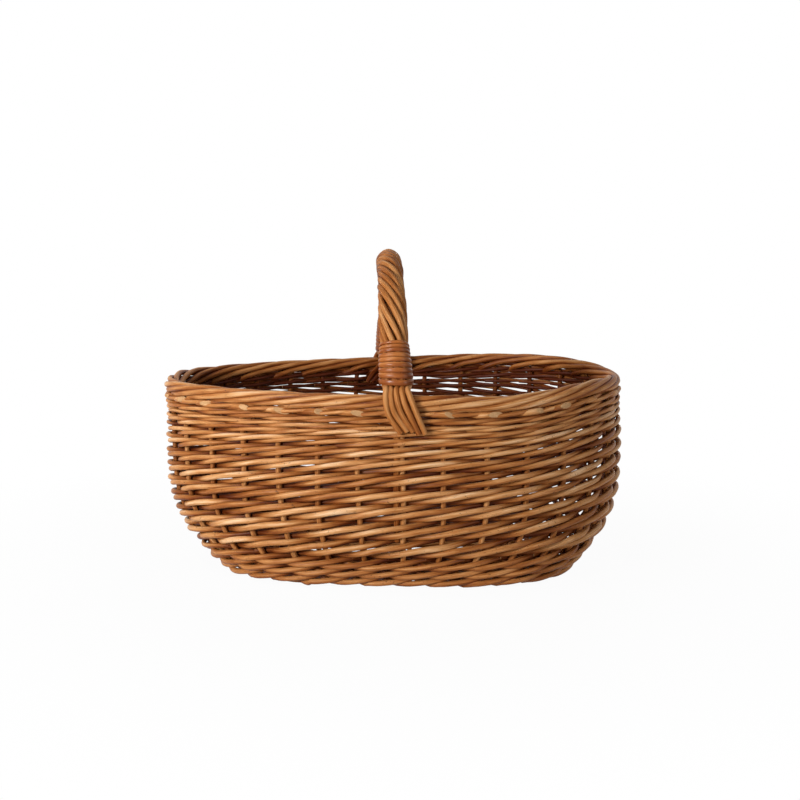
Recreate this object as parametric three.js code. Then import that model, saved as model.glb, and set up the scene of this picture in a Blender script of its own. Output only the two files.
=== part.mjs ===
// Oval wicker firewood basket with a roped cross handle.
// Millimetres, +Z up, +X along the long side. The basket stands on z = 0.
import * as THREE from 'three';

// Outline of the basket
const rimLength = 450;
const rimWidth = 300;
const baseLength = 354;
const baseWidth = 240;
const baseOffset = 2;
const baseFullness = 0.48;
const endFullness = 0.13;
const rimHeight = 183;
const rimEndRise = 3.5;
const rimTilt = 0.014;
const bellyHeight = 114;
const bellyPower = 2.7;
const bellySteps = 4;

// Stakes: each base rod turns up at both ends into two stakes
const crossRodsEachSide = 5;
const lengthRods = 4;
const stakeDiameter = 5.2;
const lengthRodPitch = 10.5;
const crossRodPitch = 16;

// Border: the stake tips rolled round each other
const tipDiameter = 4.2;
const borderWrap = 6;

// Weave
const fit = 0.4;
const tuck = 0.35;
const weaverButt = 5.2;
const weaverTip = 2.4;
const upsetDiameter = 5;
const upsetTurns = 2;
const upsetSpread = 1.1;
const topBandDiameter = 3.6;
const topBandTurns = 1;
const baseWeaverDiameter = 4;
const baseTurns = 2;
const baseSpread = 1.5;

// Handle
const handleHeight = 303;
const bowDiameter = 12;
const bowTailEnd = 50;
const ropingDiameter = 5.8;
const ropingRods = 5;
const ropingTurns = 3.5;
const ropingSteps = 28;
const bindingDiameter = 3.4;
const bindingTurns = 9;
const bindingGap = 0.6;
const fanLength = 40;
const fanLean = 16;

// Facets of round rods
const rodSides = 4;
const bowSides = 6;
const bindingSides = 5;
const bindingSteps = 14;

// Sizes that follow from these
const crossRods = 2 * crossRodsEachSide + 1;
const stakeCount = 2 * (crossRods + lengthRods);
const halfCount = stakeCount / 2;
const stakeRadius = stakeDiameter / 2;
const tipRadius = tipDiameter / 2;
const quarterTurn = Math.PI / 2;
const up = new THREE.Vector3(0, 0, 1);
const down = new THREE.Vector3(0, 0, -1);
const spokeHeight = baseWeaverDiameter + fit + stakeRadius;
const slathHalfWidth = ((lengthRods + 1) / 2) * lengthRodPitch;
const slathHalfLength = (crossRodsEachSide + 1) * crossRodPitch;
const baseReach = baseWidth / 2 - slathHalfWidth;
const borderStep = (2 * Math.PI) / borderWrap;
const borderRadius = (tipRadius + fit / 2) / Math.sin(borderStep / 2) / Math.cos(borderStep / 2) + fit / 4;
const ropeRadius = borderRadius + tipRadius;
const pairGap = stakeRadius + fit / 2;

// A rod with four flats has the section of the round rod it stands for
const cornerShare = Math.sqrt(Math.PI / 2);
const flatShare = cornerShare * Math.cos(Math.PI / rodSides);
const stakeFlat = flatShare * stakeRadius;

const lerp = THREE.MathUtils.lerp;
const clamp = THREE.MathUtils.clamp;

// Plan of the wall: an oval, fuller at its +X end and at the corners of its base, that grows to the rim
function planPoint(angle, growth) {
  const halfLength = lerp(baseLength, rimLength, growth) / 2;
  const halfWidth = lerp(baseWidth, rimWidth, growth) / 2;
  const x = halfLength * Math.cos(angle) + baseOffset * (1 - growth);
  const fullness = endFullness * Math.cos(angle) + baseFullness * (1 - growth) * Math.cos(angle) ** 2;
  return new THREE.Vector2(x, halfWidth * Math.sin(angle) * (1 + fullness));
}

// Angles at even steps along one half of the rim, from one long side to the other
function halfRimAngle(start) {
  const samples = 400;
  const lengths = [0];
  let last = planPoint(start, 1);
  for (let i = 1; i <= samples; i += 1) {
    const next = planPoint(start + (Math.PI * i) / samples, 1);
    lengths.push(lengths[i - 1] + next.distanceTo(last));
    last = next;
  }
  return (share) => {
    const target = share * lengths[samples];
    const i = clamp(lengths.findIndex((length) => length >= target), 1, samples);
    const part = (target - lengths[i - 1]) / (lengths[i] - lengths[i - 1]);
    return start + (Math.PI * (i - 1 + part)) / samples;
  };
}
const rightHalf = halfRimAngle(-quarterTurn);
const leftHalf = halfRimAngle(quarterTurn);

// Places round the basket are counted in stakes: 0 is the middle of the -Y side and they run towards +X
function planAngle(place) {
  const around = THREE.MathUtils.euclideanModulo(place, stakeCount) / halfCount;
  return around < 1 ? rightHalf(around) : leftHalf(around - 1);
}

// Profile of the wall, from the edge of the base to the middle of the rim rope, as straight stretches
const knots = [];
for (let i = 0; i <= bellySteps + 1; i += 1) {
  const rise = Math.min(i / bellySteps, 1);
  const height = i > bellySteps ? rimHeight : lerp(spokeHeight, bellyHeight, rise);
  const growth = 1 - (1 - rise) ** bellyPower;
  const inset = (Math.min(rimLength - baseLength, rimWidth - baseWidth) / 2) * (1 - growth);
  const before = knots[i - 1];
  const along = before ? before.along + Math.hypot(height - before.height, inset - before.inset) : 0;
  knots.push({ height, growth, inset, along });
}
const wallLength = knots[knots.length - 1].along;

function profileAt(along) {
  const i = clamp(knots.findIndex((knot) => knot.along >= along), 1, knots.length - 1);
  const [low, high] = [knots[i - 1], knots[i]];
  const part = (along - low.along) / (high.along - low.along);
  return { height: lerp(low.height, high.height, part), growth: lerp(low.growth, high.growth, part) };
}

function wallPoint(place, along) {
  const { height, growth } = profileAt(along);
  const angle = planAngle(place);
  const { x, y } = planPoint(angle, growth);
  const rise = (height - spokeHeight) / (rimHeight - spokeHeight);
  const lift = (rimEndRise * Math.cos(angle) ** 2 + rimTilt * x) * rise ** 2;
  return new THREE.Vector3(x, y, height + lift);
}

// Where a stake's base rod enters the slath, the crossing in the middle of the base
function slathPoint(stake) {
  const middle = Math.round(stake / halfCount) * halfCount;
  const fromMiddle = stake - middle;
  const side = Math.round(stake / halfCount) % 2 === 0 ? -1 : 1;
  if (Math.abs(fromMiddle) <= crossRodsEachSide) {
    return new THREE.Vector3(-side * fromMiddle * crossRodPitch, side * slathHalfWidth, spokeHeight);
  }
  const end = Math.cos(planAngle(stake)) > 0 ? 1 : -1;
  const fromEnd = THREE.MathUtils.euclideanModulo(stake, halfCount) - halfCount / 2;
  return new THREE.Vector3(end * slathHalfLength, end * fromEnd * lengthRodPitch, spokeHeight);
}

function spokePoint(stake, inward) {
  return wallPoint(stake, 0).lerp(slathPoint(stake), inward / baseReach);
}

// The surface that the stakes lie in: the base where along is below 0, the wall above it
function surfacePoint(place, along) {
  if (along >= 0) {
    return wallPoint(place, along);
  }
  const stake = Math.floor(place);
  return spokePoint(stake, -along).lerp(spokePoint(stake + 1, -along), place - stake);
}

function surfaceFrame(place, along) {
  const sideStep = 0.02;
  const upStep = 0.4;
  const across = surfacePoint(place + sideStep, along).sub(surfacePoint(place - sideStep, along));
  const upward = surfacePoint(place, along + upStep).sub(surfacePoint(place, along - upStep));
  const tangent = across.normalize();
  const normal = tangent.clone().cross(upward).normalize();
  return { tangent, normal };
}

// The two uprights at the middle of each long side, the stake and the end of the bow, stand apart
const isPaired = (stake) => THREE.MathUtils.euclideanModulo(stake, halfCount) === 0;
const tailSide = (stake) => (stake === 0 ? -1 : 1);

// How far a rod stands off the line of the stakes to clear a stake that it bends round
function standOff(stake, along, side, radius) {
  const reach = stakeRadius + radius + fit;
  const here = surfacePoint(stake, along);
  const next = surfacePoint(stake + 1, along);
  const last = surfacePoint(stake - 1, along);
  const pitch = Math.min(here.distanceTo(next), here.distanceTo(last));
  const bend = next.clone().sub(here).angleTo(here.clone().sub(last)) / 2;
  const lean = Math.atan((2 * reach) / pitch) + (side > 0 ? bend : 0);
  const halfWidth = stakeFlat + (isPaired(stake) ? pairGap : 0);
  return stakeFlat + fit + (flatShare * radius) / Math.cos(lean) + halfWidth * Math.tan(lean);
}

function besideStake(stake, along, side, radius) {
  const { normal } = surfaceFrame(stake, along);
  const off = along < 0 ? baseStandOff(radius) : standOff(stake, along, side, radius);
  return surfacePoint(stake, along).addScaledVector(normal, side * off);
}

// A rod's end runs on a little behind its last stake, by a share of the way to the next one
function tuckedEnd(stake, lead, along, radius) {
  const off = along < 0 ? baseStandOff(radius) : standOff(stake, along, -1, radius);
  const { normal } = surfaceFrame(stake + lead, along);
  return surfacePoint(stake + lead, along).addScaledVector(normal, -off);
}

// Under the base every strand hangs equally low, so that the basket stands flat. The spokes are closest to
// each other where the strands begin
function baseStandOff(radius) {
  const reach = stakeRadius + radius + fit;
  const pitch = spokePoint(0, -baseBottom).distanceTo(spokePoint(1, -baseBottom));
  const lean = Math.atan((2 * reach) / pitch);
  return stakeFlat + fit + (flatShare * radius) / Math.cos(lean) + 2 * stakeFlat * Math.tan(lean);
}

function pathTangent(path, i) {
  const inward = i > 0 ? path[i].clone().sub(path[i - 1]).normalize() : new THREE.Vector3();
  const outward = i + 1 < path.length ? path[i + 1].clone().sub(path[i]).normalize() : new THREE.Vector3();
  return inward.add(outward).normalize();
}

// The way a rod's first flat faces, carried without twist both ways from one of its points
function carriedHints(path, from, facing) {
  const hints = [];
  const carry = (i, last) => {
    const tangent = pathTangent(path, i);
    hints[i] = last.clone().addScaledVector(tangent, -last.dot(tangent)).normalize();
  };
  carry(from, facing);
  for (let i = from + 1; i < path.length; i += 1) {
    carry(i, hints[i - 1]);
  }
  for (let i = from - 1; i >= 0; i -= 1) {
    carry(i, hints[i + 1]);
  }
  return hints;
}

// A closed tube of a few flat sides along a path, with its own radius and facing at each point
function rod(path, radii, sides, hints) {
  const positions = [];
  path.forEach((point, i) => {
    const side = pathTangent(path, i).cross(hints[i]).normalize();
    for (let p = 0; p < sides; p += 1) {
      const turn = ((p + 0.5) / sides) * 2 * Math.PI;
      const corner = point.clone().addScaledVector(hints[i], radii[i] * Math.cos(turn));
      positions.push(...corner.addScaledVector(side, radii[i] * Math.sin(turn)));
    }
  });
  return skin(positions, sides);
}

// A closed skin over a row of rings that have the same number of corners; each quad is cut along its
// shorter diagonal
function skin(positions, corners) {
  const faces = [];
  const rings = positions.length / 3 / corners;
  const point = (i) => new THREE.Vector3().fromArray(positions, 3 * i);
  for (let i = 0; i + 1 < rings; i += 1) {
    for (let p = 0; p < corners; p += 1) {
      const [a, b] = [i * corners + p, i * corners + ((p + 1) % corners)];
      const [c, d] = [a + corners, b + corners];
      if (point(a).distanceTo(point(d)) <= point(b).distanceTo(point(c))) {
        faces.push(a, b, d, a, d, c);
      } else {
        faces.push(a, b, c, b, d, c);
      }
    }
  }
  const last = (rings - 1) * corners;
  for (let p = 1; p + 1 < corners; p += 1) {
    faces.push(0, p + 1, p, last, last + p, last + p + 1);
  }
  return meshGeometry(positions, faces);
}

function meshGeometry(positions, faces) {
  const geometry = new THREE.BufferGeometry();
  geometry.setAttribute('position', new THREE.Float32BufferAttribute(positions, 3));
  geometry.setIndex(faces);
  return geometry;
}

// Looks
const willow = (color) => new THREE.MeshStandardMaterial({ color, roughness: 0.55, metalness: 0 });
const stakeFinish = willow(0xa9743c);
const weaverFinish = willow(0xb27a3f);
const bandFinish = willow(0x9a6533);
const handleFinish = willow(0xa86a32);
const bindingFinish = willow(0x9c5c28);

const basket = new THREE.Group();
function addPiece(name, geometry, finish) {
  const mesh = new THREE.Mesh(geometry, finish);
  mesh.name = name;
  basket.add(mesh);
}
const numbered = (name, i) => `${name}_${String(i).padStart(2, '0')}`;

// Base rods with their stakes and border tips

// A point in the border rope: turn 0 is below its middle, a quarter turn is outside it
function borderPoint(place, turn, radius) {
  const outward = surfaceFrame(place, wallLength - fit).normal.setZ(0).normalize();
  const middle = wallPoint(place, wallLength);
  return middle.addScaledVector(outward, radius * Math.sin(turn)).addScaledVector(up, -radius * Math.cos(turn));
}

// The tip winds once round the rope over a few stakes, dips inside, passes under the rope and ends outside
function borderTip(stake) {
  const tip = [];
  for (let i = 0; i < borderWrap; i += 1) {
    tip.push(borderPoint(stake + i, borderStep * i, borderRadius));
  }
  const under = ropeRadius + tipRadius + fit;
  const end = stake + borderWrap;
  tip.push(borderPoint(end - 0.58, -0.5, under));
  tip.push(borderPoint(end - 0.38, 0, under));
  tip.push(borderPoint(end - 0.16, 0.55, under / Math.cos(0.55)));
  return tip;
}

function stakeFoot(stake) {
  return isPaired(stake) ? -tailSide(stake) * pairGap : 0;
}

function stakeRise(stake) {
  const points = knots.slice(0, -1).map((knot) => wallPoint(stake, knot.along));
  points.push(wallPoint(stake, wallLength - borderRadius - tipRadius));
  return points.map((point, i) => {
    const along = i < knots.length - 1 ? knots[i].along : wallLength - fit;
    return point.addScaledVector(surfaceFrame(stake, along).tangent, stakeFoot(stake));
  });
}

// Length rods ride over the cross rods in the slath and come down to their level outside it
function stakeRod(first, second, isLengthRod) {
  const half = (stake) => {
    const rise = stakeRise(stake);
    const foot = slathPoint(stake);
    if (isLengthRod) {
      const landing = foot.clone().lerp(rise[0], 0.2);
      foot.z += stakeDiameter + fit;
      rise.unshift(foot, landing);
    } else {
      rise.unshift(foot);
    }
    const tip = borderTip(stake);
    const radii = [...rise.map(() => cornerShare * stakeRadius), ...tip.map(() => tipRadius)];
    return { path: [...rise, ...tip], radii };
  };
  const one = half(first);
  const other = half(second);
  const path = [...one.path.reverse(), ...other.path];
  const hints = carriedHints(path, one.path.length, up);
  return rod(path, [...one.radii.reverse(), ...other.radii], rodSides, hints);
}

let rodNumber = 1;
for (let stake = -crossRodsEachSide; stake <= crossRodsEachSide; stake += 1) {
  addPiece(numbered('cross_stake_rod', rodNumber), stakeRod(stake, halfCount - stake, false), stakeFinish);
  rodNumber += 1;
}
for (let i = 1; i <= lengthRods; i += 1) {
  const stake = crossRodsEachSide + i;
  addPiece(numbered('length_stake_rod', i), stakeRod(stake, stakeCount - stake, true), stakeFinish);
}

// Bands low and high on the wall and in the base: three strands started a third of the way round from each
// other, which climb together, each behind one stake and in front of two
const bandPitch = (diameter, spread) => (diameter + fit) * spread;
const bandHeight = (turns, diameter, spread) => (3 * turns + 1) * bandPitch(diameter, spread);

function bandStrand(strand, { turns, bottom, diameter, spread }) {
  const radius = diameter / 2;
  const start = Math.round((strand * stakeCount) / 3);
  const steps = turns * stakeCount;
  const level = (step) => bottom + (3 * bandPitch(diameter, spread) * step) / stakeCount;
  const path = [tuckedEnd(start, -tuck, level(-tuck), radius)];
  for (let step = 0; step <= steps; step += 1) {
    path.push(besideStake(start + step, level(step), step % 3 === 0 ? -1 : 1, radius));
  }
  path.push(tuckedEnd(start + steps, tuck, level(steps + tuck), radius));
  const hints = path.map((point, i) => {
    const step = clamp(i - 1, 0, steps);
    return bottom < 0 ? down : surfaceFrame(start + step, level(step)).normal;
  });
  return rod(path, path.map(() => cornerShare * radius), rodSides, hints);
}

function addBand(name, band) {
  for (let strand = 0; strand < 3; strand += 1) {
    addPiece(`${name}_strand_${strand + 1}`, bandStrand(strand, band), bandFinish);
  }
}
const upsetBottom = upsetDiameter;
const upsetTop = upsetBottom + bandHeight(upsetTurns, upsetDiameter, upsetSpread);
const baseBottom = -baseWeaverDiameter - bandHeight(baseTurns, baseWeaverDiameter, baseSpread);
const borderRoom = ropeRadius + tipDiameter + topBandDiameter;
const topBandBottom = wallLength - borderRoom - bandHeight(topBandTurns, topBandDiameter, 1);
addBand('base', { turns: baseTurns, bottom: baseBottom, diameter: baseWeaverDiameter, spread: baseSpread });
addBand('upset', { turns: upsetTurns, bottom: upsetBottom, diameter: upsetDiameter, spread: upsetSpread });
addBand('top_band', { turns: topBandTurns, bottom: topBandBottom, diameter: topBandDiameter, spread: 1 });

// Side weavers: one for each stake, climbing one rod's thickness at every stake
const weaverBottom = upsetTop + tuck * weaverButt;
const weaverTop = topBandBottom - bandPitch(topBandDiameter, 1) - tuck * weaverTip;
const weaverRoom = weaverTop - weaverBottom;
const meanStep = (weaverButt + weaverTip) / 2 + fit;
const weaverRows = Math.round(weaverRoom / (3 * meanStep));
const weaverSteps = 3 * weaverRows;
const weaverStretch = weaverRoom / (weaverSteps * meanStep);
const weaverDiameter = (step) => lerp(weaverButt, weaverTip, clamp(step / weaverSteps, 0, 1));
function weaverLevel(step) {
  const thickness = (weaverDiameter(0) + weaverDiameter(step)) / 2 + fit;
  return weaverBottom + step * thickness * weaverStretch;
}

function sideWeaver(start) {
  const steps = [-tuck];
  for (let step = 0; step <= weaverSteps; step += 1) {
    steps.push(step);
  }
  steps.push(weaverSteps + tuck);
  const path = steps.map((step) => {
    const stake = clamp(Math.round(step), 0, weaverSteps);
    const radius = weaverDiameter(stake) / 2;
    if (step !== stake) {
      return tuckedEnd(start + stake, step - stake, weaverLevel(step), radius);
    }
    return besideStake(start + step, weaverLevel(step), step % 3 === 0 ? -1 : 1, radius);
  });
  const radii = steps.map((step) => (cornerShare * weaverDiameter(step)) / 2);
  const hints = steps.map((step) => surfaceFrame(start + step, weaverLevel(step)).normal);
  return rod(path, radii, rodSides, hints);
}
for (let i = 0; i < stakeCount; i += 1) {
  addPiece(numbered('side_weaver', i + 1), sideWeaver(i), weaverFinish);
}

// Handle bow: its ends stand in the weave beside a stake, pass inside the border and meet in an arch
const bowRadius = bowDiameter / 2;
const bowInside = ropeRadius + bowRadius + fit;
const archFoot = rimHeight + ropeRadius + ropingDiameter;
const archHalfSpan = rimWidth / 2 - bowInside;
const archRise = handleHeight - archFoot;

function archPoint(share) {
  const angle = Math.PI * share;
  const y = -archHalfSpan * Math.cos(angle);
  return new THREE.Vector3(-pairGap, y, archFoot + archRise * Math.sin(angle));
}

function bowEnd(stake, foot) {
  const tailTop = wallLength - borderRoom - tipRadius;
  const levels = knots.map((knot) => knot.along).filter((along) => along > bowTailEnd && along < tailTop);
  const path = [bowTailEnd, ...levels, tailTop].map((along) =>
    surfacePoint(stake, along).addScaledVector(surfaceFrame(stake, along).tangent, tailSide(stake) * pairGap));
  const radii = path.map(() => stakeRadius);
  path.push(foot.clone().setZ(rimHeight - stakeRadius));
  radii.push((stakeRadius + bowRadius) / 2);
  return { path, radii };
}

const arch = [];
for (let i = 0; i <= ropingSteps; i += 1) {
  arch.push(archPoint(i / ropingSteps));
}
const nearEnd = bowEnd(0, arch[0]);
const farEnd = bowEnd(halfCount, arch[ropingSteps]);
const bowPath = [...nearEnd.path, ...arch, ...farEnd.path.reverse()];
const bowRadii = [...nearEnd.radii, ...arch.map(() => bowRadius), ...farEnd.radii.reverse()];
const bowHints = carriedHints(bowPath, 0, new THREE.Vector3(1, 0, 0));
addPiece('handle_bow', rod(bowPath, bowRadii, bowSides, bowHints), handleFinish);

// Frame of the arch at one of its steps: outward from the basket's middle, sideways and along
function archFrame(i) {
  const before = arch[Math.max(i - 1, 0)];
  const after = arch[Math.min(i + 1, ropingSteps)];
  const along = i === 0 || i === ropingSteps
    ? up.clone().multiplyScalar(i === 0 ? 1 : -1)
    : after.clone().sub(before).normalize();
  const aside = new THREE.Vector3(1, 0, 0);
  aside.addScaledVector(along, -aside.dot(along)).normalize();
  return { outward: aside.clone().cross(along), aside, along };
}

function roundArch(i, angle, radius) {
  const { outward, aside } = archFrame(i);
  const point = arch[i].clone().addScaledVector(outward, radius * Math.cos(angle));
  return point.addScaledVector(aside, radius * Math.sin(angle));
}

// Roping: two bundles of rods side by side, twisted together round the bow. Outlines list each corner of a
// bundle: a rib for each rod on its outer side, then a few flats on its inner side
const ropingRadius = ropingDiameter / 2;
const ropingInner = bowRadius + fit;
const ropingOuter = ropingInner + ropingDiameter;
const ropingMiddle = ropingInner + ropingRadius;
const ropingFlats = 3;
const rodAngle = Math.PI / ropingRods;
const twistStep = (-2 * Math.PI * ropingTurns) / ropingSteps;
const fromMiddleRod = (k) => k - (ropingRods - 1) / 2;

// Wrapped round the bow a corner is an angle and a radius
function wrappedOutline() {
  const edge = quarterTurn - 0.08;
  const outline = [[-edge, ropingMiddle]];
  for (let k = 0; k < ropingRods; k += 1) {
    outline.push([fromMiddleRod(k) * rodAngle, ropingOuter]);
    if (k + 1 < ropingRods) {
      outline.push([(fromMiddleRod(k) + 0.5) * rodAngle, ropingOuter - 0.24 * ropingDiameter]);
    }
  }
  outline.push([edge, ropingMiddle]);
  const flatAngle = (2 * (edge - 0.03)) / ropingFlats;
  const inner = ropingInner / Math.cos(flatAngle / 2) / Math.cos(twistStep / 2);
  for (let k = 0; k <= ropingFlats; k += 1) {
    outline.push([(ropingFlats / 2 - k) * flatAngle, inner]);
  }
  return outline;
}

// Spread flat in a fan a corner is a distance along the rim and a height over the middle of the rods
function spreadOutline() {
  const half = (ropingRods * ropingDiameter) / 2;
  const outline = [[-half, 0]];
  for (let k = 0; k < ropingRods; k += 1) {
    outline.push([fromMiddleRod(k) * ropingDiameter, ropingRadius]);
    if (k + 1 < ropingRods) {
      outline.push([(fromMiddleRod(k) + 0.5) * ropingDiameter, 0.45 * ropingRadius]);
    }
  }
  outline.push([half, 0]);
  for (let k = 0; k <= ropingFlats; k += 1) {
    outline.push([(1 - (2 * k) / ropingFlats) * (half - fit), -ropingRadius]);
  }
  return outline;
}

// A point near the rim by a handle foot: aside along the rim, outward from its rope and above its middle
const rimPitch = surfacePoint(0, wallLength).distanceTo(surfacePoint(1, wallLength));
function besideRim(stake, aside, outward, rise) {
  const place = stake + aside / rimPitch;
  const normal = surfaceFrame(place, wallLength - fit).normal.setZ(0).normalize();
  return wallPoint(place, wallLength).addScaledVector(normal, outward).addScaledVector(up, rise);
}

// Below the foot the rods of a bundle spread over the border or down inside it and end on the wall. Each
// station: share of the lean, distance out from the rope's middle, height over it, tilt of the rods' outer side
const overRope = ropeRadius + ropingRadius + 2 * fit;
const onWall = stakeRadius + weaverButt + 2 * fit + ropingRadius;
const outsideFan = [
  [0, 0, overRope + fit, 1.4],
  [0, 0.72 * overRope, 0.84 * overRope, 0.8],
  [0.25, onWall, 0.2 * overRope, 0],
  [0.5, onWall, -overRope, 0],
  [1, onWall, -fanLength, 0],
];
const insideFan = [
  [0.25, -bowInside - ropingMiddle - fit, -0.5 * overRope, 0],
  [0.5, -onWall - 2 * fit, -2 * overRope, 0],
  [1, -onWall - 2 * fit, -fanLength, 0],
];

function fanRings(stake, isOutside) {
  const facing = isOutside ? 1 : -1;
  const handed = stake === 0 ? facing : -facing;
  const stations = isOutside ? outsideFan : insideFan;
  return stations.map(([lean, outward, rise, tilt]) => spreadOutline().map(([across, over]) => {
    const aside = tailSide(stake) * pairGap + lean * fanLean + handed * across;
    return besideRim(stake, aside, outward + facing * over * Math.cos(tilt), rise + over * Math.sin(tilt));
  }));
}

function bundle(turned) {
  const rings = fanRings(0, turned === 0).reverse();
  for (let i = 0; i <= ropingSteps; i += 1) {
    const twist = turned + twistStep * i;
    rings.push(wrappedOutline().map(([angle, radius]) => roundArch(i, angle + twist, radius)));
  }
  rings.push(...fanRings(halfCount, turned !== 0));
  return skin(rings.flatMap((ring) => ring.flatMap((point) => point.toArray())), rings[0].length);
}
addPiece('roping_bundle_1', bundle(0), handleFinish);
addPiece('roping_bundle_2', bundle(Math.PI), handleFinish);

// Foot bindings: one cane wound round each foot of the handle
const bindingRadius = bindingDiameter / 2;
const windingRadius = (ropingOuter + fit + bindingRadius) / Math.cos(Math.PI / bindingSteps);
const footBend = archRise ** 2 / archHalfSpan;
const bindingPitch = (bindingDiameter + bindingGap) / (1 - windingRadius / footBend);

// Shares of the arch at even distances up from its foot
function archShareAt(distance) {
  const samples = 200;
  let walked = 0;
  let last = archPoint(0);
  for (let i = 1; i <= samples; i += 1) {
    const next = archPoint((0.5 * i) / samples);
    const step = next.distanceTo(last);
    if (walked + step >= distance) {
      return (0.5 * (i - 1 + (distance - walked) / step)) / samples;
    }
    walked += step;
    last = next;
  }
  return 0.5;
}

function windingPath() {
  const path = [];
  const total = bindingTurns * bindingSteps;
  for (let i = 0; i <= total; i += 1) {
    const turns = i / bindingSteps;
    const share = archShareAt(bindingRadius + bindingPitch * turns);
    const along = archPoint(share + 0.001).sub(archPoint(share - 0.001)).normalize();
    const aside = new THREE.Vector3(1, 0, 0);
    aside.addScaledVector(along, -aside.dot(along)).normalize();
    const outward = aside.clone().cross(along);
    const angle = 2 * Math.PI * turns;
    const point = archPoint(share).addScaledVector(outward, -windingRadius * Math.cos(angle));
    path.push(point.addScaledVector(aside, windingRadius * Math.sin(angle)));
  }
  return path;
}

function leastGap(path, radius, apart) {
  let least = Infinity;
  for (let i = 0; i < path.length; i += 1) {
    for (let j = i + apart; j < path.length; j += 1) {
      least = Math.min(least, path[i].distanceTo(path[j]) - 2 * radius);
    }
  }
  return least;
}

const winding = windingPath();
const bindingClear = leastGap(winding, bindingRadius, bindingSteps / 2);
console.log(`foot binding: least gap to itself ${bindingClear.toFixed(2)} mm`);
const acrossBasket = (point) => new THREE.Vector3(-2 * pairGap - point.x, -point.y, point.z);
[winding, winding.map(acrossBasket)].forEach((path, i) => {
  const radii = path.map(() => bindingRadius);
  const hints = carriedHints(path, 0, up);
  addPiece(`foot_binding_${i + 1}`, rod(path, radii, bindingSides, hints), bindingFinish);
});

// The basket stands on z = 0 with its box centred over the origin
basket.updateMatrixWorld(true);
const box = new THREE.Box3().setFromObject(basket);
const middle = box.getCenter(new THREE.Vector3());
basket.children.forEach((mesh) => mesh.geometry.translate(-middle.x, -middle.y, -box.min.z));
export default basket;
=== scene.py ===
import math

import bpy
import numpy as np
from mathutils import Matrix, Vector


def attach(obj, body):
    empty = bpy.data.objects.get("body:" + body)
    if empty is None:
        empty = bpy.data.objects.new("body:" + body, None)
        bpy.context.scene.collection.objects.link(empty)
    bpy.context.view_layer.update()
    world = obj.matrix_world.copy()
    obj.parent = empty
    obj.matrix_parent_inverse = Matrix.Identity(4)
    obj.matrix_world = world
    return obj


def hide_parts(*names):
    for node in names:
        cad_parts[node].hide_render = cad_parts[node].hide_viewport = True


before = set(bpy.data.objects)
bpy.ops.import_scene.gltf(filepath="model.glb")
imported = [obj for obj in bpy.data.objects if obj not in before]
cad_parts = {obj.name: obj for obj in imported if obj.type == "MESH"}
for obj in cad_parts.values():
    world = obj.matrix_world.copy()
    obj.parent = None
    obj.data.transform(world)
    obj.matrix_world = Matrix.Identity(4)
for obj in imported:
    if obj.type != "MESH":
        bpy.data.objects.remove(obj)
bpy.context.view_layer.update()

SEED = 41

rng = np.random.default_rng(SEED)

# Sizes of the basket in millimetres, as the solids have them
RIM_LENGTH = 450
RIM_WIDTH = 300
BASE_LENGTH = 354
BASE_WIDTH = 240
BASE_OFFSET = 2
BASE_FULLNESS = 0.48
END_FULLNESS = 0.13
RIM_HEIGHT = 183
RIM_END_RISE = 3.5
RIM_TILT = 0.014
BELLY_HEIGHT = 114
BELLY_POWER = 2.7
HANDLE_HEIGHT = 303
SPOKE_HEIGHT = 7
CROSS_RODS_EACH_SIDE = 5
LENGTH_RODS = 4
LENGTH_ROD_PITCH = 10.5
CROSS_ROD_PITCH = 16
STAKE_RADIUS = 2.6
PAIR_GAP = 2.8
STAKES = 30
HALF = STAKES // 2
SLATH_HALF_WIDTH = (LENGTH_RODS + 1) / 2 * LENGTH_ROD_PITCH
SLATH_HALF_LENGTH = (CROSS_RODS_EACH_SIDE + 1) * CROSS_ROD_PITCH
BASE_REACH = BASE_WIDTH / 2 - SLATH_HALF_WIDTH

# How the photographed rim departs from an even one; the dip's place and reach are shares of the half length
RIGHT_PULL = 3.0
RIGHT_RISE = 10.4
RIGHT_SAG = 4.5
LEFT_SAG = 3.0
NEAR_DIP = 9.5
NEAR_DIP_PLACE = 0.58
NEAR_DIP_REACH = 0.35

# The model stands on the floor with its box centred over the origin; this takes the frame of the sizes there
SHIFT = np.array([-0.195, 0.439, 1.371])
MM = 0.001
UP = np.array([0.0, 0.0, 1.0])
SIDEWAYS = np.array([1.0, 0.0, 0.0])


def unit(vectors):
    return vectors / np.linalg.norm(vectors, axis=-1, keepdims=True)


def mix(a, b, share):
    return a + (b - a) * share


def hump(values, middle, reach):
    """One at the middle, and nearly nothing beyond twice the reach."""
    return np.exp(-((values - middle) / reach) ** 2)


def added_up(steps):
    """How far along each point lies, given the steps between the points."""
    return np.concatenate([[0], np.cumsum(steps)])


# Plan and profile of the wall

RIM_SAMPLES = 401
PROFILE_SAMPLES = 61
PLACE_STEP = 0.02
ALONG_STEP = 0.4


def plan(angle, growth):
    """The oval of the base at growth 0, that of the rim at growth 1."""
    half_length = mix(BASE_LENGTH, RIM_LENGTH, growth) / 2
    half_width = mix(BASE_WIDTH, RIM_WIDTH, growth) / 2
    x = half_length * np.cos(angle) + BASE_OFFSET * (1 - growth)
    fullness = END_FULLNESS * np.cos(angle) + BASE_FULLNESS * (1 - growth) * np.cos(angle) ** 2
    return x, half_width * np.sin(angle) * (1 + fullness)


def half_rim(start):
    """How many stakes lie before each sample along one half of the rim, and the angles of the samples."""
    angles = start + np.linspace(0, math.pi, RIM_SAMPLES)
    x, y = plan(angles, 1.0)
    lengths = added_up(np.hypot(np.diff(x), np.diff(y)))
    return lengths / lengths[-1] * HALF, angles


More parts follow.
